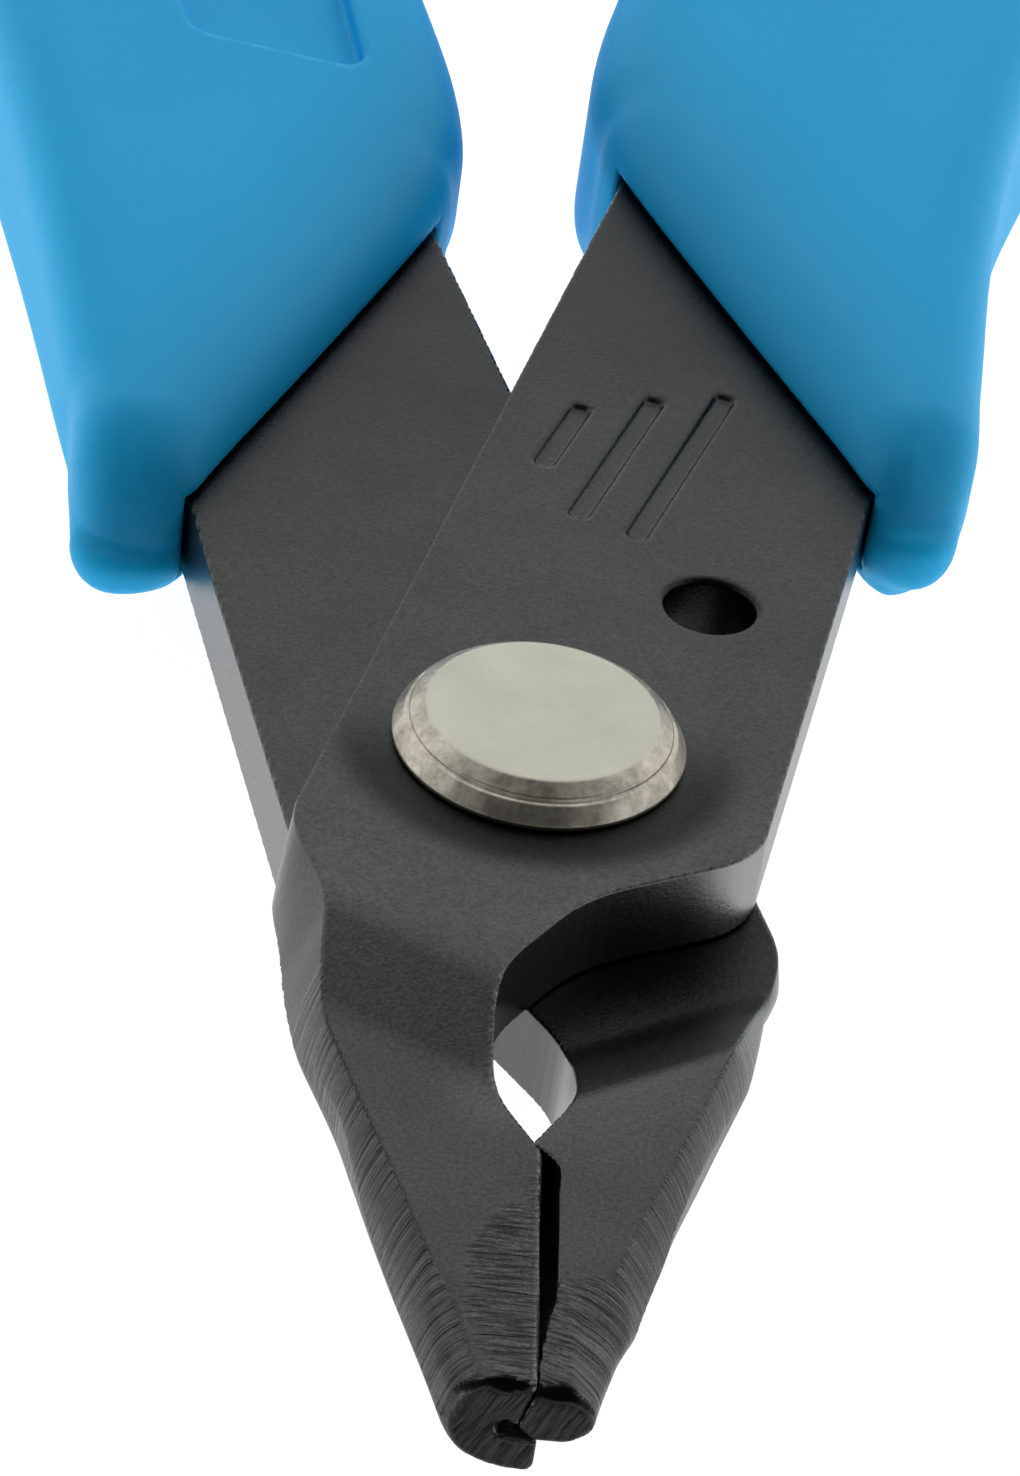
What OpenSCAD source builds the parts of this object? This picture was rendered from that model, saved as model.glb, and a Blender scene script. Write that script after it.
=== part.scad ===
// Flush cut pliers: two crossed steel levers on a rivet, moulded grips and a wire return spring.
// Z = 0 is the plane that the rivet's tail and both grips rest on. The pivot is the Z axis,
// the jaw tips point to -Y and the handles to +Y. The jaws are drawn closed.

/* [Levers] */
// Thickness of each lever's plate
plate_t = 2.5; // [2:0.1:3]
// Height of the lower lever's underside above the bench
plate_lift = 1.9; // [1.6:0.1:2.4]
// Sliding gap between the two levers
lap_gap = 0.05; // [0.02:0.01:0.1]
// Distance from the pivot to the jaw tips
jaw_reach = 24; // [22:0.5:26]
// Width of the upper jaw at its tip
upper_tip_w = 2.0; // [1.6:0.1:2.4]
// Width of the lower jaw at its tip
lower_tip_w = 1.3; // [1:0.1:1.6]
// Gap between the closed cutting edges at the tip
cut_gap = 0.05; // [0.04:0.01:0.1]

/* [Pivot rivet] */
// Radius of the rivet's shank
shank_r = 2.4; // [2:0.1:2.8]
// Radius of the rivet's head at its rim
head_r = 4; // [3.6:0.1:4.4]
// Radius of the shoulder between the head's sloping skirt and its chamfer
shoulder_r = 3.6; // [3.5:0.05:3.8]
// Radius of the flat on top of the head
head_top_r = 3.15; // [2.9:0.05:3.4]
// Height of the head
head_h = 1.07; // [0.9:0.01:1.3]
// Radial running clearance in the upper lever
run_gap = 0.04; // [0.02:0.01:0.08]
// Radius of the collar under the lower lever
collar_r = 3.7; // [3.4:0.1:4.2]

/* [Lead retainer hole] */
// Radius of the hole
retainer_r = 1.3; // [1:0.05:1.5]

/* [Grips] */
// Top of the lower grip above the bench
lower_grip_h = 8; // [7.4:0.1:8.6]
// Top of the upper grip above the bench
upper_grip_h = 10.5; // [10:0.1:11.5]
// Distance from the pivot to the end of the grips
grip_reach = 103; // [100:1:106]

/* [Return spring] */
// Radius of the spring wire
wire_r = 0.7; // [0.5:0.05:0.8]
// Radius of the bow, to the wire's centre
bow_r = 11; // [10:0.5:12]

/* [Hidden] */
$fn = 64;

upper_z = plate_lift + plate_t + lap_gap;   // underside of the upper lever
upper_top = upper_z + plate_t;
jaw_shift = (plate_t + lap_gap) / 2;        // each jaw is set over by half the lap
jaw_z = plate_lift + jaw_shift;             // underside of both jaws
jaw_top = jaw_z + plate_t;
joggle_turn = 31;                           // turn of the set-over bend about Z
joggle_from = 9.2;
joggle_to = 11.9;
far = 300;

flush_z = jaw_top - 1.55;  // flush ground underside of the lower jaw's wedge
wedge_run = 0.7;       // how far the wedge leans under the upper jaw
wedge_turn = 2;        // opens a narrow slot behind the touching tips
edge_len = 8;          // length of the ground cutting edges
lip_reach = 0.3;       // reach of the upper jaw's lip under the lower jaw
lip_h = 0.75;
slot_y = -15.1;        // front end of the window between the jaws
slot_relief = 0.25;    // width of the slot at the window

retainer_at = [4.95, 7.4];
marks = [[0.83, 15.6, 3.6], [2.43, 14.7, 7.2], [4.35, 14.6, 8.6]];    // centres and lengths
mark_w = 0.6;
mark_depth = 0.15;
mark_turn = 70;

tail_h = 0.5;          // upset end of the rivet below the collar
tail_r = 3.1;
rim_h = 0.15;          // height of the head's rim
shoulder_h = 0.7;
head_z = upper_top + 0.03;

spring_z = plate_lift + plate_t + lap_gap / 2;
bow_centre_y = 46;
bow_half_angle = 42;
socket_gap = 0.06;

grip_sides = 24;
grip_round = 0.7;      // 1 makes elliptical sections and less makes them squarer

steel = "#3a3c3d";
nickel = "#b3b0a6";
rubber = "#2f8fc8";

arc_step = 9;          // degrees between the points of a rounded corner

// Points of the arc that rounds corner p1 between p0 and p2
function unit(v) = v / norm(v);
function corner(p0, p1, p2, r) =
    let (a = unit(p0 - p1), b = unit(p2 - p1),
         half = acos(a * b) / 2,
         centre = p1 + unit(a + b) * r / sin(half),
         first = p1 + a * r / tan(half) - centre,
         last = p1 + b * r / tan(half) - centre,
         start = atan2(first.y, first.x),
         sweep = (atan2(last.y, last.x) - start + 540) % 360 - 180,
         steps = max(1, ceil(abs(sweep) / arc_step)))
    [for (i = [0:steps]) centre + r * [cos(start + sweep * i / steps),
                                       sin(start + sweep * i / steps)]];

// A closed outline from corners given as [x, y, radius]
function rounded(corners) =
    let (n = len(corners), at = [for (c = corners) [c.x, c.y]])
    [for (i = [0:n - 1])
        each corners[i].z == 0 ? [at[i]]
             : corner(at[(i + n - 1) % n], at[i], at[(i + 1) % n], corners[i].z)];

// Plan of a lever whose handle is on the +X side and whose jaw is on the -X side
function lever_plan(tip_w, edge_x) = rounded([
    [edge_x, -jaw_reach, 0],
    [edge_x, slot_y, 1],
    [-1.08, -13.1, 1.6],
    [-1.08, -10.1, 1.8],
    [1.3, -6.6, 4],
    [5.9, -4.2, 2.4],
    [16.4, 42.5, 15],
    [18.6, 90, 2.5],
    [14, 90, 1.8],
    [6.8, 45.5, 12],
    [-6.9, -5.2, 5],
    [-6.8, -7.4, 4],
    [-tip_w, -jaw_reach, 0.4]]);

// Lengthwise section of a lever: flat plate, set-over bend, flat jaw
module joggled_slab(z, shift) {
    rotate([0, 0, 180 - joggle_turn]) rotate([90, 0, 90])
        linear_extrude(far, center = true)
            polygon([[-far, z], [joggle_from, z], [joggle_to, z + shift], [far, z + shift],
                     [far, z + shift + plate_t], [joggle_to, z + shift + plate_t],
                     [joggle_from, z + plate_t], [-far, z + plate_t]]);
}

// Everything outside a plane that holds the line between two plan points at height z.
// A positive lean tips the plane outwards below the line, and a negative lean above it
module outside(from, to, z, lean) {
    heading = atan2(to.y - from.y, to.x - from.x) - 90;
    translate([from.x, from.y, z]) rotate([0, 0, heading]) rotate([0, -lean, 0])
        translate([0, -far / 2, -far / 2]) cube(far);
}

// Ground chamfers along the outer top and bottom edges of a jaw on the -X side
module outer_chamfers(tip_w) {
    outside([-5.4, -8], [0.15 - tip_w, -jaw_reach], jaw_top, 42);
    outside([-6.5, -8], [0.9 - tip_w, -jaw_reach], jaw_z, -35);
}

module lever(z, shift, tip_w, edge_x) {
    difference() {
        intersection() {
            translate([0, 0, -far / 2]) linear_extrude(far) polygon(lever_plan(tip_w, edge_x));
            joggled_slab(z, shift);
        }
        outer_chamfers(tip_w);
    }
}

// Prism of the given length behind the jaw tips, from a section drawn in X and Z
module along_jaw(length, section) {
    translate([0, length - jaw_reach, 0]) rotate([90, 0, 0]) linear_extrude(length) polygon(section);
}

// The upper jaw's leaning cutting face, the notch under it and the lip below the lower jaw
module upper_cutting_edge() {
    difference() {
        union() {
            children();
            translate([-0.8, -jaw_reach, jaw_z]) cube([0.8 + lip_reach, edge_len, lip_h]);
        }
        translate([0, -1, 0])
            along_jaw(edge_len + 3, [[0, jaw_top + 1], [0, jaw_top], [-wedge_run, flush_z],
                                     [-wedge_run, jaw_z + lip_h], [3, jaw_z + lip_h],
                                     [3, jaw_top + 1]]);
    }
}

// The lower jaw's wedge, which leans under the upper jaw and touches it at the tip, ground flush below
module lower_cutting_edge() {
    difference() {
        union() {
            children();
            intersection() {
                translate([0, -jaw_reach, 0]) rotate([0, 0, -wedge_turn])
                    translate([0, jaw_reach - 1, 0])
                        along_jaw(edge_len + 1, [[cut_gap, jaw_top], [cut_gap - wedge_run, flush_z],
                                                 [1, flush_z], [1, jaw_top]]);
                translate([-5, -jaw_reach, 0]) cube([10, edge_len, 20]);
            }
        }
        translate([-5, -jaw_reach - 1, jaw_z - 1]) cube([10, edge_len + 1.5, flush_z - jaw_z + 1]);
    }
}

module upper_lever() color(steel) {
    difference() {
        upper_cutting_edge() lever(upper_z, -jaw_shift, upper_tip_w, 0);
        translate([0, 0, upper_z - 1]) cylinder(r = shank_r + run_gap, h = plate_t + 2);
        translate([retainer_at.x, retainer_at.y, upper_z - 1])
            cylinder(r = retainer_r, h = plate_t + 2);
        for (m = marks)
            translate([m.x, m.y, upper_top]) rotate([0, 0, mark_turn])
                cube([m.z, mark_w, 2 * mark_depth], center = true);
    }
}

module lower_lever() color(steel) {
    difference() {
        lower_cutting_edge() mirror([1, 0, 0])
            lever(plate_lift, jaw_shift, lower_tip_w, -slot_relief);
        translate([0, 0, plate_lift - 1]) cylinder(r = shank_r, h = plate_t + 2);
    }
}

module pivot_rivet() color(nickel) {
    rotate_extrude()
        polygon([[0, 0], [tail_r - 0.2, 0], [tail_r, 0.2], [tail_r, tail_h], [shank_r, tail_h],
                 [shank_r, head_z], [head_r, head_z], [head_r, head_z + rim_h],
                 [shoulder_r, head_z + shoulder_h], [head_top_r, head_z + head_h],
                 [0, head_z + head_h]]);
}

module rivet_collar() color(nickel) {
    difference() {
        translate([0, 0, tail_h]) cylinder(r = collar_r, h = plate_lift - tail_h);
        translate([0, 0, -1]) cylinder(r = shank_r, h = plate_lift + 2);
    }
}

// The wire's centre line is one arc between the handles. spare thickens it to cut the sockets
module spring_bow(spare) {
    translate([0, bow_centre_y, spring_z]) rotate([0, 0, 90 - bow_half_angle])
        rotate_extrude(angle = 2 * bow_half_angle)
            translate([bow_r, 0]) circle(r = wire_r + spare, $fn = 32);
}

module return_spring() color("silver") spring_bow(0);

// Point t of the way from b to c on a smooth curve through a, b, c and d
function smooth(a, b, c, d, t) =
    0.5 * (2 * b + (c - a) * t + (2 * a - 5 * b + 4 * c - d) * t * t
           + (3 * b - a - 3 * c + d) * t * t * t);

// The stations with one more smoothly placed between each two
function refined(s) =
    [for (i = [0:len(s) - 1]) each i == len(s) - 1 ? [s[i]]
        : [s[i], smooth(s[max(i - 1, 0)], s[i], s[i + 1], s[min(i + 2, len(s) - 1)], 0.5)]];

function signed_pow(v, e) = sign(v) * pow(abs(v), e);

// Rounded section of a grip between its inner and outer walls, underside and top
function section(s) =
    [for (k = [0:grip_sides - 1])
        let (a = 360 * k / grip_sides,
             across = 0.5 + 0.5 * signed_pow(cos(a), grip_round),
             up = 0.5 + 0.5 * signed_pow(sin(a), grip_round))
        [s[0] + (s[2] - s[0]) * across, s[1] + (s[3] - s[1]) * across,
         s[4] + (s[5] - s[4]) * up]];

// A closed sleeve through the sections, cut flat where it rests on the bench
module sleeve(stations) {
    rings = [for (s = refined(stations)) section(s)];
    n = grip_sides;
    last = len(rings) - 1;
    intersection() {
        polyhedron(
            points = [for (r = rings) each r],
            faces = concat(
                [[for (k = [0:n - 1]) k]],
                [[for (k = [n - 1:-1:0]) last * n + k]],
                [for (i = [0:last - 1], k = [0:n - 1], half = [0, 1])
                    let (a = i * n + k, b = i * n + (k + 1) % n)
                    half == 0 ? [a, a + n, b] : [b, a + n, b + n]]));
        translate([-far / 2, -far / 2, 0]) cube(far);
    }
}

// Stations of the right-hand grip, front to back: inner x and y, outer x and y, underside, top.
// The front edge crosses the plate on a slant, with a lobe beyond the plate's outer edge
function grip_stations(tang_z, top) =
    let (mid = tang_z + plate_t / 2) [
        [3.4, 32.2, 11.6, 13.4, mid - 1.9, mid + 2.2],
        [2.5, 33, 13.1, 12.7, mid - 2.5, mid + 2.7],
        [2, 34.8, 13.7, 15.5, mid - 2.8, mid + 3.1],
        [2.2, 38, 14.1, 21, (mid - 3) / 2, mid + 3.4],
        [3.2, 42, 16, 31, -0.4, (mid + 3.6 + top) / 2],
        [4.6, 48, 19.2, 42, -0.4, top],
        [6.4, 58, 22, 55, -0.4, top],
        [8.6, 72, 22.8, 70, -0.4, top - 0.1],
        [10.2, 88, 21.9, 88, -0.4, top - 0.5],
        [11, grip_reach - 4, 20.6, grip_reach - 4, -0.2, top - 0.9],
        [12.2, grip_reach - 0.9, 19.2, grip_reach - 0.9, 1.3, top - 2],
        [14, grip_reach, 17.4, grip_reach, 3, top - 3.6]];

module tang_space(z) {
    translate([0, 0, z]) linear_extrude(plate_t) polygon(lever_plan(upper_tip_w, 0));
}

module upper_grip() color(rubber) {
    difference() {
        sleeve(grip_stations(upper_z, upper_grip_h));
        tang_space(upper_z);
        spring_bow(socket_gap);
    }
}

module lower_grip() color(rubber) {
    difference() {
        mirror([1, 0, 0]) sleeve(grip_stations(plate_lift, lower_grip_h));
        mirror([1, 0, 0]) tang_space(plate_lift);
        spring_bow(socket_gap);
    }
}

upper_lever();
lower_lever();
pivot_rivet();
rivet_collar();
upper_grip();
lower_grip();
return_spring();
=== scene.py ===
"""Flush cut pliers. Each CAD piece is replaced by a detailed mesh of the same size in the same place.

The levers and grips are solids given by a signed distance field, in millimetres. The field is sampled on a
grid and turned into quads. Every vertex is then pulled onto the exact surface, whose slope gives its
normal.
"""

import math

import bpy
import numpy as np
from mathutils import Matrix, Vector


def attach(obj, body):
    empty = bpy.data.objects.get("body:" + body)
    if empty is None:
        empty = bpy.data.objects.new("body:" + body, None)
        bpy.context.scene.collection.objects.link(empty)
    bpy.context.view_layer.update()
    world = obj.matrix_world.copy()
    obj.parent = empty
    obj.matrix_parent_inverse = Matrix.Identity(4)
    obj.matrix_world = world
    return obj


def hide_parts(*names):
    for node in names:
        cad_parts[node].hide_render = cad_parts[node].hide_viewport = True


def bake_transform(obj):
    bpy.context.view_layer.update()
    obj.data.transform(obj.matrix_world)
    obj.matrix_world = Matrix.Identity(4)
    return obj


MM = 0.001

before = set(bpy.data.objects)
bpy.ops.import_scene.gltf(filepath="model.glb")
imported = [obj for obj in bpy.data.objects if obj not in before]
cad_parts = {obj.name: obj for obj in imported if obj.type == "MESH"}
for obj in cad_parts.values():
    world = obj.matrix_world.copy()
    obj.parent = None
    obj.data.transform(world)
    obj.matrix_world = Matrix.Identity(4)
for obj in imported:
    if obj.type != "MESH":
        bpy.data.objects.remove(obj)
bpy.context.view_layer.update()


# ---------------------------------------------------------------- sizes, in millimetres, as in the CAD

PLATE_T = 2.5
WEAR_DEPTH = 0.2                        # how far in the steel is felt for a worn edge
LOWER_Z, UPPER_Z = 1.9, 4.45            # undersides of the two plates
JAW_SHIFT = 1.275                       # each jaw is set over by half the lap
REACH = 24.0                            # pivot to jaw tips
END_Y = -23.75                          # the ground end faces, just behind the sharp tips
JOGGLE_TURN = math.radians(31)
JOGGLE_FROM, JOGGLE_TO = 9.2, 11.9
SHANK_R = 2.4
RETAINER_AT, RETAINER_R = (4.95, 7.4), 1.3


# ---------------------------------------------------------------- curves and outlines

def rounded(corners, step=math.radians(6)):
    """A closed outline from corners given as (x, y, radius)."""
    points = []
    at = np.array([c[:2] for c in corners], float)
    for i, (x, y, r) in enumerate(corners):
        if not r:
            points.append((x, y))
            continue
        a, b = at[i - 1] - at[i], at[(i + 1) % len(at)] - at[i]
        a, b = a / np.linalg.norm(a), b / np.linalg.norm(b)
        half = math.acos(np.clip(a @ b, -1, 1)) / 2
        centre = at[i] + (a + b) / np.linalg.norm(a + b) * r / math.sin(half)
        first, last = (at[i] + d * r / math.tan(half) - centre for d in (a, b))
        start = math.atan2(first[1], first[0])
        sweep = (math.atan2(last[1], last[0]) - start + 3 * math.pi) % (2 * math.pi) - math.pi
        steps = max(2, math.ceil(abs(sweep) / step))
        for k in range(steps + 1):
            t = start + sweep * k / steps
            points.append((centre[0] + r * math.cos(t), centre[1] + r * math.sin(t)))
    return np.array(points)


def spline(points, per=8, closed=True):
    """A smooth curve through the points (Catmull-Rom)."""
    p = np.array(points, float)
    n = len(p)
    out = []
    for i in range(n if closed else n - 1):
        a, b, c, d = ((p[(i + k) % n] if closed else p[min(max(i + k, 0), n - 1)]) for k in (-1, 0, 1, 2))
        for t in np.arange(per) / per:
            out.append(0.5 * (2 * b + (c - a) * t + (2 * a - 5 * b + 4 * c - d) * t ** 2
                              + (3 * b - a - 3 * c + d) * t ** 3))
    if not closed:
        out.append(p[-1])
    return np.array(out)


def along(table, y):
    """Smoothly interpolated value at y from a table of (y, value)."""
    curve = spline(table, closed=False)
    return np.interp(y, curve[:, 0], curve[:, 1])


def outline_distance(outline, x, y):
    """Signed distance in a plane from points to a closed outline, negative inside."""
    x, y = np.broadcast_arrays(x, y)
    best = np.full(x.shape, np.inf)
    inside = np.zeros(x.shape, bool)
    for (ax, ay), (bx, by) in zip(outline, np.roll(outline, -1, axis=0)):
        ex, ey = bx - ax, by - ay
        if ex * ex + ey * ey < 1e-12:
            continue
        wx, wy = x - ax, y - ay
        t = np.clip((wx * ex + wy * ey) / (ex * ex + ey * ey), 0, 1)
        best = np.minimum(best, (wx - ex * t) ** 2 + (wy - ey * t) ** 2)
        if ey:
            inside ^= ((ay > y) != (by > y)) & (wx < wy * ex / ey)
    return np.where(inside, -1, 1) * np.sqrt(best)


def smooth_max(a, b, r):
    """Intersection of two solids, with the edge between them rounded off by about r."""
    h = np.maximum(r - np.abs(a - b), 0) / r
    return np.maximum(a, b) + h * h * r / 4


def smooth_min(a, b, r):
    """Union of two solids, with a fillet of about r."""
    return -smooth_max(-a, -b, r)


def ramp(t, soft):
    """0 below 0 and 1 above 1, straight between, with soft corners."""
    return smooth_min(smooth_max(t, 0.0, soft), 1.0, soft)


def ease(t):
    t = np.clip(t, 0, 1)
    return t * t * (3 - 2 * t)


# ---------------------------------------------------------------- levers

def lever_outline(edge, bulge, waist, tip_w):
    """Plan of the upper lever. The lower one is its mirror image.

    edge is the inner side of its jaw. bulge, waist and tip_w are the outer side, from the pivot to the tip.
    """
    past_tip = -REACH - 1
    return rounded([(edge, past_tip, 0), (edge, -15.4, 0.7), (-1.1, -13.1, 3.5), (-1.12, -9.9, 4),
                    (1.25, -6.55, 5), (5.9, -4.2, 2.6), (16.4, 42.5, 15), (18.6, 90, 2.5), (14, 90, 1.8),
                    (6.8, 45.5, 12), (-6.9, -5.2, 5), (-6.8, -7.6, 4), (-bulge, -13, 20), (-waist, -19.2, 14),
                    (-tip_w + 0.25, past_tip, 0)])


# For the upper lever and the lower one, as (y, x) pairs: the crease where the ground facet leaves the jaw's
# top, and the outer side of the jaw below it
CREASE = {True: [(-26, 1.5), (-24, 1.7), (-22, 2.12), (-20, 2.5), (-17, 3.4), (-14, 4.5), (-11.1, 5.45),
                 (-9, 5.55), (-7.4, 5.6), (-5.5, 6.2), (-3, 7.5), (0, 9)],
          False: [(-26, 0.75), (-24, 1.12), (-22.8, 1.34), (-21.5, 1.57), (-20.4, 1.76), (-19.3, 2.0),
                  (-16.6, 3.0), (-12, 4.75), (-8.6, 5.8), (-6.5, 6.6), (-3, 8), (0, 9)]}
OUTER_SIDE = {True: [(-26, 1.75), (-24, 2.2), (-20.5, 3.1), (-17, 3.98), (-15, 4.47), (-13, 5.01),
                     (-9.6, 6.2), (-7.4, 6.8), (0, 8)],
              False: [(-26, 1.2), (-24, 1.76), (-22, 2.27), (-20.4, 2.68), (-18, 3.26), (-16, 3.79),
                      (-12.1, 5.1), (-8.6, 6.42), (-7.4, 6.85), (0, 8)]}
# The plan's four numbers, and at the tip the underside, the roundness of the edges and of the outer side, the
# extra lean of the facet in degrees, and the chamfer over the end face: its middle, start, fall and softness
JAW = {True: {"plan": (0.2, 5.1, 3.4, 2.3), "low": 2.93, "worn": 0.7, "round": 1.4, "lean": 0,
              "chamfer": (0.75, 23.47, 0.72, 0.06)},
       False: {"plan": (0.3, 4.85, 3.05, 1.75), "low": 3.94, "worn": 1.2, "round": 0.25, "lean": 7,
               "chamfer": (0.6, 23.4, 0.84, 0.3)}}
SLOT_EDGE = [(-26, 0.05), (-24, 0.05), (-22.9, 0.08), (-21.4, 0.28), (-20.3, 0.5), (-17, 0.58), (-15.6, 0.5),
             (-14.6, -1), (-12, -6), (0, -30), (90, -99)]
UPPER_NOTCH = [(0.02, 9), (0.02, 5.72), (-0.16, 5.1), (-0.33, 4.33), (-0.6, 4.54), (-0.86, 4.3), (-0.74, 3.98),
               (-0.05, 3.9), (3, 3.9), (3, 9)]         # section in X and Z
MARKS = [((0.83, 15.6), 3.6), ((2.43, 14.7), 7.2), ((4.35, 14.6), 8.6)]         # centres and lengths
MARK_TURN = math.radians(20)            # from the Y axis
MARK_W, MARK_DEPTH = 0.6, 0.16


def along_bend(x, y):
    """Distance from the pivot across the set-over bend, in the upper lever's plan."""
    return -math.sin(JOGGLE_TURN) * x - math.cos(JOGGLE_TURN) * y


def from_retainer(x, y):
    return np.hypot(x - RETAINER_AT[0], y - RETAINER_AT[1])


def upper_details(solid, x, y, z, top):
    """The notch along the cutting edge, the stamped bars and the retainer hole."""
    edge_x = x - 0.018 * (y + REACH)
    notch = outline_distance(np.array(UPPER_NOTCH), edge_x, z)
    solid = smooth_max(solid, -smooth_max(notch, (y + 15.0) * 0.8, 0.2), 0.05)
    c, s = math.cos(MARK_TURN), math.sin(MARK_TURN)
    for (mx, my), length in MARKS:
        across, run = (x - mx) * c - (y - my) * s, (x - mx) * s + (y - my) * c
        bar = smooth_max(np.abs(across) - MARK_W / 2, np.abs(run) - length / 2, 0.25)
        solid = smooth_max(solid, -smooth_max(bar, top - MARK_DEPTH - z, 0.12), 0.16)
    return smooth_max(solid, RETAINER_R - from_retainer(x, y), 0.22)


def lower_details(solid, x, y, z, top):
    """The cutting wedge, its ground underside, the hollow in the tip's top, and the cut outer corner."""
    wedge = (along(SLOT_EDGE, y) - (5.7 - z) * 0.26 + x) * 0.96
    solid = smooth_max(solid, wedge, 0.05)
    bevel = (4.28 - z) * 0.743 + (-0.27 + x) * 0.669
    solid = smooth_max(solid, smooth_min(bevel, -(y + 16), 0.5), 0.08)
    solid = smooth_max(solid, z - top + 0.035 * (-20.2 - y - 0.25 * x), 0.05)
    corner = 0.6 * (-x - 5.9) + 0.45 * np.minimum(-y - 6.2, 1.5) + 0.75 * (2.75 - z)
    return smooth_max(solid, corner, 0.5)


def lever_field(upper):
    side = 1 if upper else -1
    jaw = JAW[upper]
    outline = lever_outline(*jaw["plan"])
    base_z = UPPER_Z if upper else LOWER_Z

    def field(x, y, z):
        x = x * side
        to_tip = ease((-18.7 - y) / 3)
        plan = outline_distance(outline, x, y)
        bend = ramp((along_bend(x, y) - JOGGLE_FROM) / (JOGGLE_TO - JOGGLE_FROM), 0.16)
        bottom = base_z - side * JAW_SHIFT * bend
        top = bottom + PLATE_T
        slant = 0.93 - 0.07 * np.cos(np.pi * (2 * bend - 1))      # the distance field's scale on the bend
        worn = 0.07 + jaw["worn"] * to_tip * ease(-x - 0.2)
        # ground facet from a crease on the top, down to the outer side
        out = -x - along(CREASE[upper], y)
        lean = np.radians(26 + 12 * ease((-y - 9) / 6) - 12 * ease((-20.5 - y) / 3) + jaw["lean"])
        facet = out * np.cos(lean) - (top - z) * np.sin(lean)
        side_wall = smooth_max(plan, facet, 0.9)
        solid = smooth_max(side_wall, (z - top) * slant, worn)
        # the jaw's underside, rounder and rounder towards the tip on its outer side
        thinned = ease((-13.5 - y) / 6.5)
        low = jaw["low"] * thinned + bottom * (1 - thinned)
        lip = 0.25 * ease((x + 0.1) / 0.2) * to_tip if upper else 0
        solid = smooth_max(solid, (low - z) * slant, worn + lip)
        rounding = 0.9 + jaw["round"] * ease((-y - 13) / 11)
        outer = along(OUTER_SIDE[upper], y)
        solid = np.maximum(solid, smooth_max((-x - outer) * 0.96, low - z, rounding))
        solid = (upper_details if upper else lower_details)(solid, x, y, z, top)
        # the end face, with a ground chamfer above it that runs out at both sides
        middle, start, fall, soft = jaw["chamfer"]
        chamfer = (-start - y) * fall + (z - top) * math.sqrt(1 - fall ** 2) - 0.16 * ((x + middle) / 0.7) ** 2
        solid = smooth_max(solid, chamfer, soft)
        solid = smooth_max(solid, END_Y - y, 0.08 + 0.4 * ease((z - low - 0.4) / 1.2) * ease(-x - 0.6))
        bore = SHANK_R + 0.03 - np.hypot(x, y)
        return np.maximum(solid, bore)

    return field


# ---------------------------------------------------------------- grips

GRIP_OUTLINE = spline([(2.7, 31.1), (2.25, 33.8), (1.95, 36), (2.3, 39.5), (3.3, 44), (4.6, 49), (6.4, 58),
                       (8.6, 72), (10.2, 88), (11.2, 98), (12.6, 102), (15.6, 103), (18.6, 102), (20.4, 98),
                       (21.9, 88), (22.8, 70), (22, 56), (19.8, 45.5), (17.1, 35.2), (15.2, 26.5),
                       (14.1, 19.5), (13.4, 15.6), (12.4, 13.6), (11.1, 12.9), (9.9, 13.6), (8.9, 16.1),
                       (5.75, 23.5)], per=6)
FOOT_OUTLINE = spline([(9.5, 15), (9.8, 13.5), (10.7, 12.5), (11.9, 12.4), (12.8, 13.4), (13.2, 16),
                       (13.7, 20), (10.5, 20)], per=6)
LIP_LINE = (3.0, 31.8, 0.922, 0.387)    # a point of the front edge, and its normal towards the handle
# How far the outer side is drawn in, as (y, inset): the two mouldings differ a little in front
INSET = {True: [(9, 0.15), (13, 0.15), (16, 0.27), (19, 0.48), (22, 0.6), (26, 0.76), (31, 0.95), (36, 1),
                (42, 0.84), (50, 0.5), (58, 0.16), (66, 0), (80, 0), (110, 0)],
         False: [(9, -0.5), (13, -0.5), (14.3, -0.35), (16, -0.05), (18, 0.14), (20, 0.02), (24, -0.2),
                 (28, -0.3), (36, -0.3), (50, -0.15), (66, 0), (80, 0), (110, 0)]}
CROWN_Z = {True: 10.5, False: 8.0}      # highest point
LIP_H = 1.9                             # front edge above the lever
FOOT = {True: (2.0, -0.15), False: (1.2, -0.55)}        # its top and underside, from the lever's underside
PANEL_OUTLINE = rounded([(5.4, 37.3, 0.8), (11.2, 37.3, 0.8), (18.3, 60, 2), (17.6, 78, 3), (13, 80, 3),
                         (9.6, 60, 2)])
PANEL_DEPTH = 0.7


def behind_lip(x, y):
    px, py, nx, ny = LIP_LINE
    return (x - px) * nx + (y - py) * ny


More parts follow.
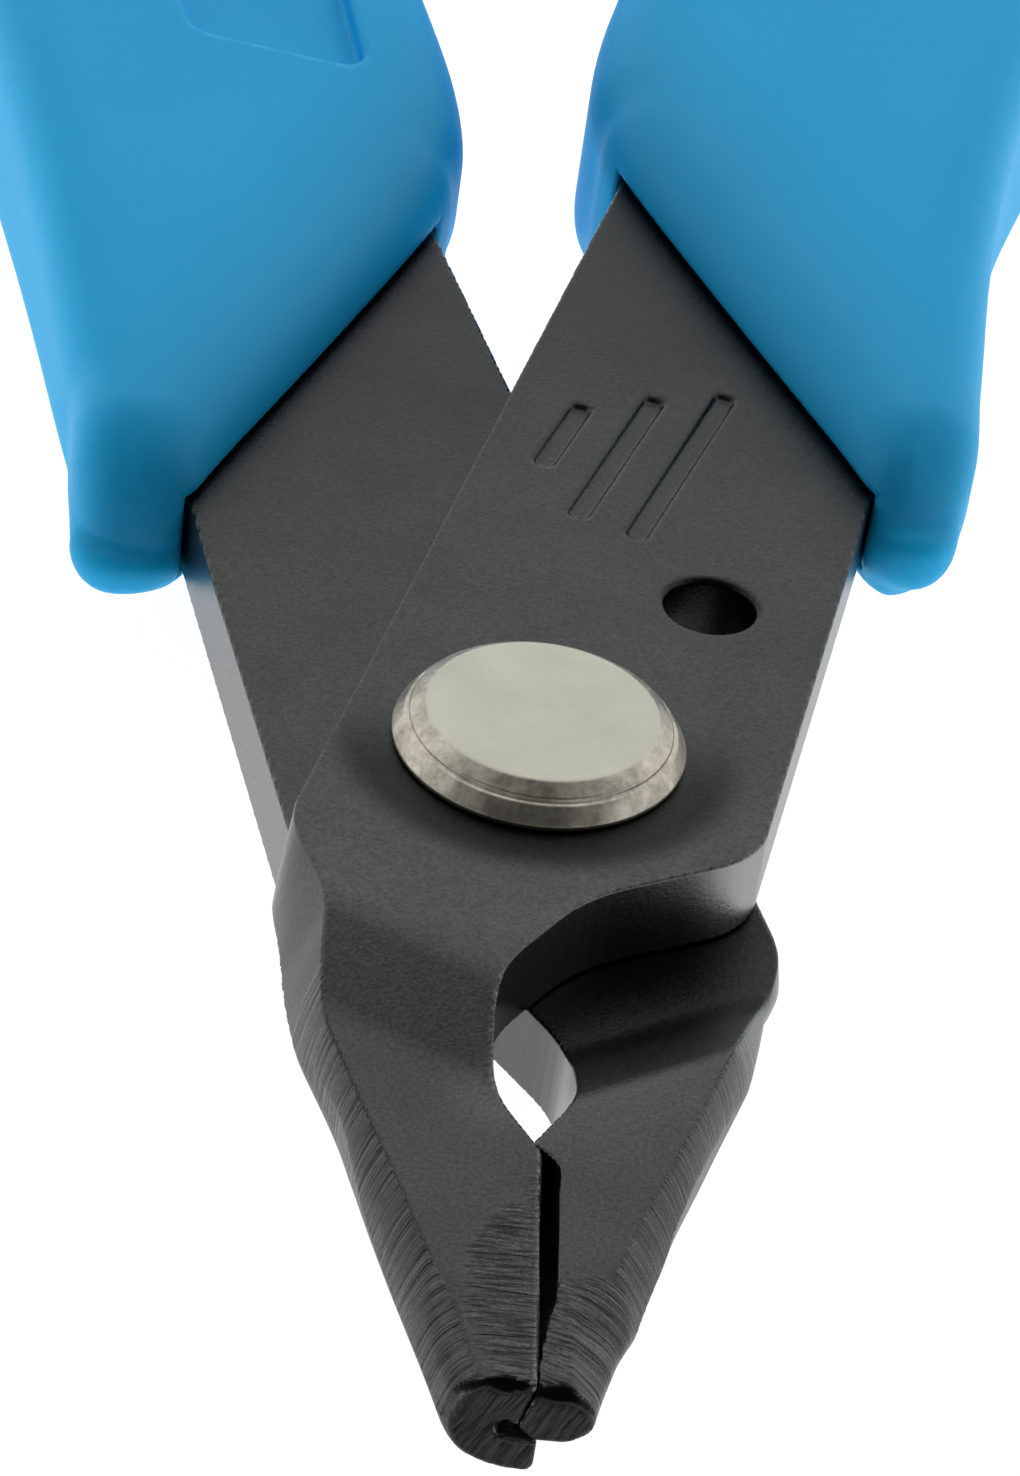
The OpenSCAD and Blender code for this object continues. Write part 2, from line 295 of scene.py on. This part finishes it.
def grip_field(upper):
    side = 1 if upper else -1
    tang_z = UPPER_Z if upper else LOWER_Z
    lever = lever_outline(0.3, 5.3, 3.25, 2.05)
    lip = tang_z + PLATE_T + LIP_H
    foot_top, foot_low = (tang_z + h for h in FOOT[upper])

    def field(x, y, z):
        x = x * side
        wide_x = x + along(INSET[upper], y) * ease((x - 9.5) / 3)
        plan = outline_distance(GRIP_OUTLINE, wide_x, y)
        crown = lip + (CROWN_Z[upper] - lip) * ease((behind_lip(x, y) + 1) / 17) - 0.05 * np.maximum(y - 70, 0)
        crown = crown - 2.0 * ease((16.2 - y) / 5) * ease((x - 8.5) / 3.5)
        body = smooth_max(plan, (z - crown) * 0.97, 2.2)
        low = (tang_z - 1.2) * (1 - (ease((y - 14) / 32) if upper else ease((y - 16) / 24)))
        body = smooth_max(body, low - z, 2.4)
        foot = outline_distance(FOOT_OUTLINE, wide_x, y)
        foot = smooth_max(foot, z - foot_top, 0.7)
        foot = smooth_max(foot, foot_low - z, 1.4)
        body = smooth_min(body, foot, 0.25)
        tang = np.maximum(outline_distance(lever, x, y), np.abs(z - tang_z - PLATE_T / 2) - PLATE_T / 2)
        body = smooth_max(body, -(tang - 0.08), 0.35)
        if not upper:
            panel = outline_distance(PANEL_OUTLINE, x, y)
            body = smooth_max(body, -smooth_max(panel, crown - PANEL_DEPTH - z, 0.25), 0.3)
        return body

    return field


# ---------------------------------------------------------------- meshes

def slope(field, p, step=0.01):
    """Gradient of the field at points p."""
    g = np.empty_like(p)
    for k in range(3):
        d = np.zeros(3)
        d[k] = step
        g[:, k] = (field(*(p + d).T) - field(*(p - d).T)) / (2 * step)
    return g


def surface(field, axes, rounds=3):
    """Vertices, quads and normals of the surface where the field is zero."""
    xs, ys, zs = axes
    value = np.array(np.broadcast_to(field(xs[:, None, None], ys[None, :, None], zs[None, None, :]),
                                     (len(xs), len(ys), len(zs))))
    cells = np.array(value.shape) - 1
    total = int(np.prod(cells))
    sums, counts, quads = np.zeros((total, 3)), np.zeros(total), []
    for axis in range(3):
        u, v = (axis + 1) % 3, (axis + 2) % 3
        low = tuple(slice(0, -1) if k == axis else slice(None) for k in range(3))
        high = tuple(slice(1, None) if k == axis else slice(None) for k in range(3))
        a, b = value[low], value[high]
        at = np.argwhere((a < 0) != (b < 0))
        va, vb = a[tuple(at.T)], b[tuple(at.T)]
        crossing = np.stack([g[at[:, k]] for k, g in enumerate(axes)], 1)
        grid = axes[axis]
        crossing[:, axis] += va / (va - vb) * (grid[at[:, axis] + 1] - grid[at[:, axis]])
        sharing = []
        for du, dv in ((0, 0), (-1, 0), (-1, -1), (0, -1)):
            cell = at.copy()
            cell[:, u] += du
            cell[:, v] += dv
            flat = np.ravel_multi_index(tuple(cell.T), tuple(cells))
            sharing.append(flat)
            counts += np.bincount(flat, minlength=total)
            for k in range(3):
                sums[:, k] += np.bincount(flat, weights=crossing[:, k], minlength=total)
        ring = np.stack(sharing, 1)
        ring[va > 0] = ring[va > 0][:, ::-1]
        quads.append(ring)
    quads = np.concatenate(quads)
    used, quads = np.unique(quads, return_inverse=True)
    quads = quads.reshape(-1, 4)
    p = sums[used] / counts[used][:, None]
    for _ in range(rounds):
        g = slope(field, p)
        move = field(*p.T)[:, None] * g / np.maximum((g * g).sum(1), 0.2)[:, None]
        p -= np.clip(move, -0.1, 0.1)
    g = slope(field, p)
    return p, quads, g / np.maximum(np.linalg.norm(g, axis=1), 1e-9)[:, None]


def spaced(*spans):
    """Grid positions: spans of (start, end, step)."""
    parts = [np.linspace(a, b, max(2, round((b - a) / s)) + 1)[:-1] for a, b, s in spans]
    return np.concatenate(parts + [[spans[-1][1]]])


def add_mesh(name, points, faces, normals=None):
    mesh = bpy.data.meshes.new(name)
    mesh.from_pydata((np.asarray(points) * MM).tolist(), [], [list(map(int, f)) for f in faces])
    mesh.polygons.foreach_set("use_smooth", np.ones(len(mesh.polygons), bool))
    mesh.validate()
    if normals is not None:
        mesh.normals_split_custom_set_from_vertices(normals.tolist())
    mesh.update()
    piece = bpy.data.objects.new(name, mesh)
    bpy.context.scene.collection.objects.link(piece)
    return piece


def add_attribute(piece, name, values):
    piece.data.attributes.new(name, "FLOAT", "POINT").data.foreach_set("value", np.asarray(values, np.float32))


# The steel, as (y, value): the outer side of the flat ground along the upper jaw's edge, and painted light
# and shade along the levers: lighter at the jaws and the bend, darker towards the grips
FLAT_SIDE = [(-26, -1.2), (-23, -1.2), (-22, -1.7), (-19.3, -1.75), (-17.5, -0.9), (-16, -0.2), (0, 0)]
PAINTED_LIGHT_SHADE_ALONG = [(-26, 1.2), (-12, 1.2), (-7, 1.4), (0, 1.15), (12, 0.92), (25, 0.58), (40, 0.6)]


def steel_attributes(p, normal, side):
    """The values over a lever that its material reads, from its points and normals."""
    x, y, z = p[:, 0] * side, p[:, 1], p[:, 2]
    inward, front, up = normal[:, 0] * side, -normal[:, 1], normal[:, 2]
    end = ease((front - 0.88) / 0.08) * ease((-23.3 - y) / 0.3)
    chamfer = ease((front - 0.4) / 0.15) * ease((up - 0.3) / 0.2) * ease((-23.1 - y) / 0.2) * (1 - end)
    strokes = grinding_strokes(x, y, z, inward, up, end, side)
    tones = painted_steel_light(x, y, inward, up, side)
    strokes["ground"] *= 1 - chamfer
    tones["outward"] *= 1 - end
    wall = tones["wall"] * (1 - end)
    # the ground chamfer over the end face is painted almost black, as painted shade
    tones["shade"] = np.where(chamfer > wall, 0.012, tones["shade"])
    return {**strokes, **tones, "wall": np.maximum(wall, chamfer), "end": end}


def grinding_strokes(x, y, z, inward, up, end, side):
    """How much each point was ground, and its place across and along the strokes, in millimetres."""
    slanting = (0.3 * x - 0.954 * y, 0.954 * x + 0.3 * y - z)       # down the outer facets
    facet = ease((-inward - 0.25) / 0.2) * ease((-8 - y) / 3)
    if side > 0:
        left = along(FLAT_SIDE, y)
        flat = ease((x - left + 0.6) / 1.4) * ease((-14.1 - y) / 3)
        on_flat = (-y, x)
        facet *= 0.7
    else:
        flat = ease((-20.0 - y - 0.3 * x) / 0.4)
        on_flat = slanting
    flat *= ease((up - 0.6) / 0.2) * (1 - facet)
    on_end = (0.906 * x * side - 0.423 * z, 0.423 * x * side + 0.906 * z)
    across, length = (np.where(end > 0.5, e, np.where(facet > flat, s, f))
                      for e, s, f in zip(on_end, slanting, on_flat))
    return {"ground": np.clip(facet + flat + 0.8 * end, 0, 1), "across": across, "length": length}


def painted_steel_light(x, y, inward, up, side):
    """Painted light and shade on the steel by place, standing in for what the part mirrors round it."""
    rim = ease((-inward - 0.5) / 0.4) * ease((-8 - y) / 3)
    wall = ease((0.45 - np.abs(up)) / 0.3) * (1 - rim)
    wall *= 1 - ease((2.2 - from_retainer(x, y)) / 0.4)
    wall *= 1 - ease(1.5 - np.abs(y - 14.8) / 4.6) * ease(5 - x) * (up > 0.02)      # the stamped bars
    # the side walls painted lighter, as painted light, and the outer ground facets darker, as painted shade
    shade = np.full(len(x), 0.11)
    tone = along(PAINTED_LIGHT_SHADE_ALONG, y) * (1 - 0.6 * rim)
    if side > 0:
        # painted shade inside the throat and a painted highlight at its outer end, painted shade on the outer
        # side
        throat = ease((inward - 0.2) / 0.3) * ease(-3.2 - y) * ease(y + 11)
        shade += throat * (0.18 * ease((x - 3.8) / 1.6) - 0.035)
        shade -= 0.05 * ease((-inward - 0.2) / 0.4) * ease((3 - y) / 4)
        # a painted reflection of the rivet head in front of it, painted shade in the retainer hole,
        # and a lighter patch behind the edge
        tone *= 1 - 0.72 * ease((6.0 - np.hypot(x, y)) / 1.1) * ease((up - 0.9) / 0.1) * ease((2 - y) / 4)
        tone *= 1 - 0.6 * ease((1.5 - from_retainer(x, y)) / 0.12)
        tone *= 1 + 0.3 * ease(1.2 - np.hypot((x + 1.1) / 1.6, (y + 13.6) / 1.6))
    else:
        # painted light round the window, painted shade in front of the upper lever's throat,
        # and painted light from the bend on
        run = along_bend(x, y)
        shade += 0.17 * ease((inward - 0.1) / 0.3) * ease(-9.5 - y) * ease((y + 15.4) / 0.5)
        tone *= 1 - 0.6 * ease((9.9 - run) / 0.8) * ease((-2 - y) / 2)
        tone *= 1 + 0.8 * ease((run - 9.3) / 0.8) * ease((12 - run) / 0.5)
        tone *= 1 + 0.2 * ease((run - 11.7) / 0.5) * ease((15.5 - run) / 3)
    # a painted glint on the outer facets where they turn away, near their silhouettes
    outward = ease((-inward - 0.9) / 0.09) * ease((-9 - y) / 3)
    return {"wall": wall, "shade": shade, "tone": tone, "outward": outward}


def place(piece, node, body, material):
    piece.data.materials.append(material)
    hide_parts(node)
    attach(piece, body)


def around(profile, segments):
    """Each (radius, z) of a profile, turned around Z."""
    turns = [2 * math.pi * k / segments for k in range(segments)]
    return [(r * math.cos(a), r * math.sin(a), z) for r, z in profile for a in turns]


def lathe(name, profile, segments=128):
    """A solid from a profile of (radius, z), from the axis back to the axis, turned around Z."""
    rings = profile[1:-1]
    points = [(0, 0, profile[0][1])] + around(rings, segments) + [(0, 0, profile[-1][1])]
    bottom, top = 0, len(points) - 1

    def ring(i, k):
        return 1 + i * segments + k % segments

    faces = []
    for k in range(segments):
        faces.append((bottom, ring(0, k + 1), ring(0, k)))
        faces.append((top, ring(len(rings) - 1, k), ring(len(rings) - 1, k + 1)))
    for i in range(len(rings) - 1):
        for k in range(segments):
            faces.append((ring(i, k), ring(i, k + 1), ring(i + 1, k + 1), ring(i + 1, k)))
    edge = np.diff(np.array(profile, float), axis=0)
    across = np.stack([edge[:, 1], -edge[:, 0]], 1)           # outward, and as long as the edge
    turn = across[:-1] + across[1:]
    turn /= np.linalg.norm(turn, axis=1)[:, None]
    return add_mesh(name, points, faces, np.array([(0, 0, -1)] + around(turn, segments) + [(0, 0, 1)]))


def filleted(profile, radii):
    """The profile with its inner points rounded."""
    out = [profile[0]]
    for i in range(1, len(profile) - 1):
        a, p, b = (np.array(profile[j], float) for j in (i - 1, i, i + 1))
        r = radii[i - 1]
        if not r:
            out.append(tuple(p))
            continue
        da, db = (a - p) / np.linalg.norm(a - p), (b - p) / np.linalg.norm(b - p)
        for t in np.linspace(0, 1, 6):
            q = (1 - t) ** 2 * (p + da * r) + 2 * t * (1 - t) * p + t * t * (p + db * r)
            out.append(tuple(q))
    return out + [profile[-1]]


# ---------------------------------------------------------------- materials

class Nodes:
    """A material's node tree, with short calls for what is used here."""

    def __init__(self, name):
        self.material = bpy.data.materials.new(name)
        self.material.use_nodes = True
        self.tree = self.material.node_tree
        self.shader = self.tree.nodes["Principled BSDF"]
        self.place = self.add("ShaderNodeTexCoord").outputs["Object"]

    def add(self, kind, **settings):
        node = self.tree.nodes.new(kind)
        for key, v in settings.items():
            setattr(node, key, v)
        return node

    def link(self, source, target):
        if isinstance(source, bpy.types.NodeSocket):
            self.tree.links.new(source, target)
        else:
            target.default_value = source

    def set(self, **values):
        for key, v in values.items():
            self.link(v, self.shader.inputs[key.replace("_", " ")])

    def noise(self, scale, detail=3, roughness=0.6, vector=None):
        node = self.add("ShaderNodeTexNoise")
        node.inputs["Scale"].default_value = scale
        node.inputs["Detail"].default_value = detail
        node.inputs["Roughness"].default_value = roughness
        self.link(self.place if vector is None else vector, node.inputs["Vector"])
        return node.outputs["Fac"]

    def math(self, operation, a, b=0.0, c=0.0):
        node = self.add("ShaderNodeMath", operation=operation)
        for value, socket in zip((a, b, c), node.inputs):
            self.link(value, socket)
        return node.outputs[0]

    def range(self, value, low, high, to_low, to_high):
        node = self.add("ShaderNodeMapRange")
        keys = ("Value", "From Min", "From Max", "To Min", "To Max")
        for key, v in zip(keys, (value, low, high, to_low, to_high)):
            self.link(v, node.inputs[key])
        return node.outputs["Result"]

    def mix(self, factor, a, b):
        node = self.add("ShaderNodeMix", data_type="RGBA")
        self.link(factor, node.inputs[0])
        for socket, value in ((node.inputs[6], a), (node.inputs[7], b)):
            self.link(value if isinstance(value, bpy.types.NodeSocket) else (*value, 1), socket)
        return node.outputs[2]

    def blend(self, factor, a, b):
        node = self.add("ShaderNodeMix", data_type="FLOAT")
        for value, socket in zip((factor, a, b), (node.inputs[0], node.inputs[2], node.inputs[3])):
            self.link(value, socket)
        return node.outputs[0]

    def attribute(self, name):
        return self.add("ShaderNodeAttribute", attribute_name=name).outputs["Fac"]

    def bump(self, height, strength, distance, before=None):
        node = self.add("ShaderNodeBump")
        node.inputs["Strength"].default_value = strength
        node.inputs["Distance"].default_value = distance
        self.link(height, node.inputs["Height"])
        if before is not None:
            self.link(before, node.inputs["Normal"])
        return node.outputs["Normal"]


def steel_material():
    """A dark mirror, nearly all of it, so that grain and grinding strokes show as light and dark lines."""
    n = Nodes("black_oxide_steel")
    grain = n.noise(9000, 3, 0.7)
    cloudy = n.noise(260, 4, 0.6)
    stroke_at = n.add("ShaderNodeCombineXYZ")
    n.link(n.math("MULTIPLY", n.attribute("across"), 10.0), stroke_at.inputs["X"])
    n.link(n.math("MULTIPLY", n.attribute("length"), 0.8), stroke_at.inputs["Y"])
    strokes = n.noise(1.0, 4, 0.7, stroke_at.outputs["Vector"])
    streak_at = n.add("ShaderNodeVectorMath", operation="MULTIPLY")
    streak_at.inputs[1].default_value = (0.35, 0.4, 1)
    n.link(stroke_at.outputs["Vector"], streak_at.inputs[0])
    streaks = n.range(n.noise(1.0, 2, 0.5, streak_at.outputs["Vector"]), 0.3, 0.7, 0.3, 1.7)
    ground = n.range(n.math("MULTIPLY", n.attribute("ground"), streaks), 0.3, 0.7, 0, 1)
    # lighter worn edges, plus the painted glint where the outer facets turn away
    worn = n.range(n.attribute("wear"), 0.4, 0.9, 0, 0.09)
    glint = n.math("MULTIPLY_ADD", n.attribute("outward"), 0.09, worn)
    wear = n.math("MULTIPLY", glint, n.range(grain, 0.35, 0.65, 0.1, 1.2))
    plain = n.math("MULTIPLY", n.range(cloudy, 0.3, 0.7, 0.042, 0.052), n.range(grain, 0.35, 0.65, 0.75, 1.25))
    lined = n.math("MULTIPLY", plain, n.range(strokes, 0.4, 0.6, 0.4, 2.2))
    # the oxide's colour times the painted light and shade of the tone; the walls take their own painted light
    # and shade
    oxide = n.math("MULTIPLY", n.attribute("tone"), n.blend(ground, plain, lined))
    oxide_and_painted_walls = n.blend(n.attribute("wall"), oxide, n.attribute("shade"))
    # the end faces painted darker, as painted shade, over their grinding strokes
    ended = n.blend(n.attribute("end"), oxide_and_painted_walls, n.range(strokes, 0.4, 0.6, 0.006, 0.028))
    n.set(Base_Color=n.mix(n.math("ADD", ended, wear), (0, 0, 0), (1, 1.04, 1.02)), Metallic=1.0,
          Roughness=n.range(grain, 0.3, 0.7, 0.26, 0.34))
    groove = n.bump(n.math("MULTIPLY", strokes, ground), 1.0, 0.00008)
    n.set(Normal=n.bump(grain, 0.6, 0.00002, groove))
    return n.material


def nickel_material():
    n = Nodes("satin_nickel")
    fine = n.noise(7000, 4, 0.6)
    cloudy = n.noise(500, 3, 0.5)
    mottled = n.noise(1600, 4, 0.7)
    top = n.mix(n.range(cloudy, 0.3, 0.7, 0, 1), (0.43, 0.415, 0.35), (0.49, 0.475, 0.405))
    # painted shade darkens and browns the flank, and a painted highlight lightens the bottom rim
    flank = n.mix(n.range(mottled, 0.35, 0.65, 0, 1), (0.3, 0.27, 0.225), (0.58, 0.535, 0.455))
    rim = n.mix(n.attribute("rim"), n.mix(n.attribute("flank"), top, flank), (0.62, 0.58, 0.43))
    n.set(Base_Color=rim, Roughness=n.range(fine, 0.3, 0.7, 0.3, 0.42), Metallic=1.0)
    n.set(Normal=n.bump(fine, 0.2, 0.00001))
    return n.material


def grip_material():
    n = Nodes("moulded_blue_grip")
    fine = n.noise(2500, 3, 0.5)
    cloudy = n.noise(90, 2, 0.5)
    clean = n.mix(n.range(cloudy, 0.3, 0.7, 0, 1), (0.003, 0.42, 0.83), (0.006, 0.45, 0.88))
    # painted shade darkens the blue
    n.set(Base_Color=n.mix(n.attribute("painted_shade"), clean, (0, 0.05, 0.12)),
          Roughness=n.range(fine, 0.3, 0.7, 0.52, 0.6))
    n.set(Specular_IOR_Level=0.2, Normal=n.bump(fine, 0.1, 0.00001))
    return n.material


def wire_material():
    n = Nodes("spring_steel_wire")
    drawn = n.noise(3000, 3, 0.6)
    n.set(Base_Color=n.mix(n.range(drawn, 0.3, 0.7, 0, 1), (0.30, 0.30, 0.29), (0.40, 0.40, 0.39)),
          Roughness=n.range(drawn, 0.3, 0.7, 0.25, 0.4), Metallic=1.0, Normal=n.bump(drawn, 0.1, 0.00001))
    return n.material


STEEL, NICKEL, GRIP, WIRE = steel_material(), nickel_material(), grip_material(), wire_material()


# ---------------------------------------------------------------- the object

def build_levers():
    for name, node, body, upper in (("lever_upper", "upper_lever", "upper_half", True),
                                    ("lower_lever_blade", "lower_lever", "lower_half", False)):
        coarse = 1
        fine = 0.1 * coarse
        xs = spaced((-7.3, 2.2, fine), (2.2, 12, 0.15 * coarse), (12, 19, 0.4))
        ys = spaced((-24.25, -7, fine), (-7, 20, 0.18 * coarse), (20, 36, 0.3 * coarse), (36, 90.3, 1.1))
        low, high = (2.8, 7.07) if upper else (1.78, 5.8)
        zs = spaced((low, high, 0.085 * coarse))
        if not upper:
            xs = -xs[::-1]
        field = lever_field(upper)
        points, quads, normals = surface(field, (xs, ys, zs))
        lever = add_mesh(name, points, quads, normals)
        for key, values in steel_attributes(points, normals, 1 if upper else -1).items():
            add_attribute(lever, key, values)
        wear = 1 + field(*(points - WEAR_DEPTH * normals).T) / WEAR_DEPTH     # 0 on flats and 1 on sharp edges
        add_attribute(lever, "wear", np.clip(wear, 0, 1))
        place(lever, node, body, STEEL)
        print(name, len(quads))


def build_grips():
    for name, node, body, upper in (("grip_upper", "upper_grip", "upper_half", True),
                                    ("grip_lower", "lower_grip", "lower_half", False)):
        coarse = 1
        xs = spaced((1.4, 15, 0.2 * coarse), (15, 23.4, 0.34 * coarse))
        ys = spaced((11.6, 36, 0.2 * coarse), (36, 50, 0.34 * coarse), (50, 103.6, 0.7 * coarse))
        zs = spaced((-0.35, 11.0 if upper else 8.6, 0.2 * coarse))
        if not upper:
            xs = -xs[::-1]
        points, quads, normals = surface(grip_field(upper), (xs, ys, zs))
        grip = add_mesh(name, points, quads, normals)
        # painted shade: a deeper blue on the front edge, on the neck above the foot and a little on the foot
        x, y, z = np.abs(points[:, 0]), points[:, 1], points[:, 2]
        over = ease((z - (6.0 if upper else 2.6)) / 1.0)
        neck = ease((16 - y) / 3.5) * ease((x - 7.5) / 2) * ease((13.4 - x) / 1.2)
        edge = ease((6 - behind_lip(x, y)) / 7)
        painted_shade = (0.33 * edge + 0.22 * neck) * over + 0.08 * ease((16 - y) / 3) * (1 - over)
        add_attribute(grip, "painted_shade", painted_shade)
        place(grip, node, body, GRIP)
        print(name, len(quads))


def build_rivet():
    head = UPPER_Z + PLATE_T + 0.03
    profile = [(0, 0), (2.9, 0), (3.1, 0.2), (3.1, 0.5), (SHANK_R, 0.5), (SHANK_R, head), (3.97, head),
               (4.03, head + 0.15), (3.72, head + 0.62), (3.6, head + 0.66), (3.58, head + 0.78),
               (3.15, head + 1.07), (0, head + 1.07)]
    rivet = lathe("rivet", filleted(profile, [0.1, 0.1, 0.05, 0.05, 0.05, 0.04, 0.07, 0.05, 0.04, 0.05, 0.08]))
    at = np.array([v.co for v in rivet.data.vertices]) / MM
    radius = np.hypot(at[:, 0], at[:, 1])
    # masks for the flank's painted shade and the bottom rim's painted highlight
    add_attribute(rivet, "flank", ease((radius - 3.14) / 0.08))
    add_attribute(rivet, "rim", ease((radius - 3.97) / 0.04) * ease((head + 0.16 - at[:, 2]) / 0.05))
    place(rivet, "pivot_rivet", "lower_half", NICKEL)


def build_collar():
    segments = 96
    profile = [(SHANK_R, 0.5), (3.58, 0.5), (3.7, 0.62), (3.7, 1.78), (3.58, 1.9), (SHANK_R, 1.9)]
    faces = []
    for i in range(len(profile)):
        j = (i + 1) % len(profile)
        for k in range(segments):
            m = (k + 1) % segments
            faces.append((i * segments + k, i * segments + m, j * segments + m, j * segments + k))
    collar = add_mesh("collar", around(profile, segments), faces)
    place(collar, "rivet_collar", "lower_half", NICKEL)


def build_spring():
    """A bow of wire: a round tube bent in an arc and closed at both ends."""
    bow_r, wire_r, centre_y, z0, half = 11.0, 0.7, 46.0, LOWER_Z + PLATE_T + 0.025, math.radians(42)
    rings, sides = 72, 20
    points, faces = [], []
    for i in range(rings + 1):
        a = math.pi / 2 + half - 2 * half * i / rings
        for k in range(sides):
            b = 2 * math.pi * k / sides
            r = bow_r + wire_r * math.cos(b)
            points.append((r * math.cos(a), centre_y + r * math.sin(a), z0 + wire_r * math.sin(b)))
    for i in range(rings):
        for k in range(sides):
            m = (k + 1) % sides
            faces.append((i * sides + k, i * sides + m, (i + 1) * sides + m, (i + 1) * sides + k))
    ends = [list(range(sides))[::-1], [rings * sides + k for k in range(sides)]]
    spring = add_mesh("spring", points, faces + ends)
    spring.data.materials.append(WIRE)
    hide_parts("return_spring")
    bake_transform(spring)


# ---------------------------------------------------------------- stage, light and camera

def build_stage():
    mesh = bpy.data.meshes.new("floor")
    half, z = 1.5, -0.0003
    corners = [(-half, -half, z), (half, -half, z), (half, half, z), (-half, half, z)]
    mesh.from_pydata(corners, [], [(0, 1, 2, 3)])
    floor = bpy.data.objects.new("floor", mesh)
    bpy.context.scene.collection.objects.link(floor)
    n = Nodes("pale_floor")
    n.set(Base_Color=(0.3, 0.3, 0.3, 1), Roughness=0.9, Emission_Color=(1, 1, 1, 1), Emission_Strength=0.95)
    mesh.materials.append(n.material)


def build_light():
    """A bright surround that dims overhead and is dark in front of the tips."""
    world = bpy.data.worlds.new("studio")
    bpy.context.scene.world = world
    world.use_nodes = True
    tree = world.node_tree
    back = tree.nodes["Background"]
    where = tree.nodes.new("ShaderNodeTexCoord")
    dot = tree.nodes.new("ShaderNodeVectorMath")
    dot.operation = "DOT_PRODUCT"
    dot.inputs[1].default_value = Vector((-0.05, -0.78, 0.62)).normalized()
    tree.links.new(where.outputs["Generated"], dot.inputs[0])
    dim = tree.nodes.new("ShaderNodeMapRange")
    dim.interpolation_type = "SMOOTHSTEP"
    for key, value in (("From Min", 0.2), ("From Max", 0.85), ("To Min", 1.15), ("To Max", 0.08)):
        dim.inputs[key].default_value = value
    tree.links.new(dot.outputs["Value"], dim.inputs["Value"])
    back.inputs["Color"].default_value = (0.97, 1, 0.99, 1)
    tree.links.new(dim.outputs["Result"], back.inputs["Strength"])


def add_camera():
    """The photograph's viewpoint: in front of the tips, looking down along the tool."""
    heading, dip, roll = math.radians(5.144), math.radians(35.749), math.radians(8.582)
    forward = Vector((math.sin(heading) * math.cos(dip), math.cos(heading) * math.cos(dip), -math.sin(dip)))
    side = forward.cross(Vector((0, 0, 1))).normalized()
    over = side.cross(forward)
    right = side * math.cos(roll) + over * math.sin(roll)
    up = over * math.cos(roll) - side * math.sin(roll)
    data = bpy.data.cameras.new("camera")
    data.lens = 121.95
    data.clip_start = 0.005
    camera = bpy.data.objects.new("camera", data)
    turn = Matrix((right, up, -forward)).transposed().to_4x4()
    camera.matrix_world = Matrix.Translation(Vector((-10.6, -109.07, 85.85)) * MM) @ turn
    bpy.context.scene.collection.objects.link(camera)
    bpy.context.scene.camera = camera


add_camera()
build_light()
build_stage()
build_levers()
build_grips()
build_rivet()
build_collar()
build_spring()
bpy.context.scene.view_settings.view_transform = "Standard"
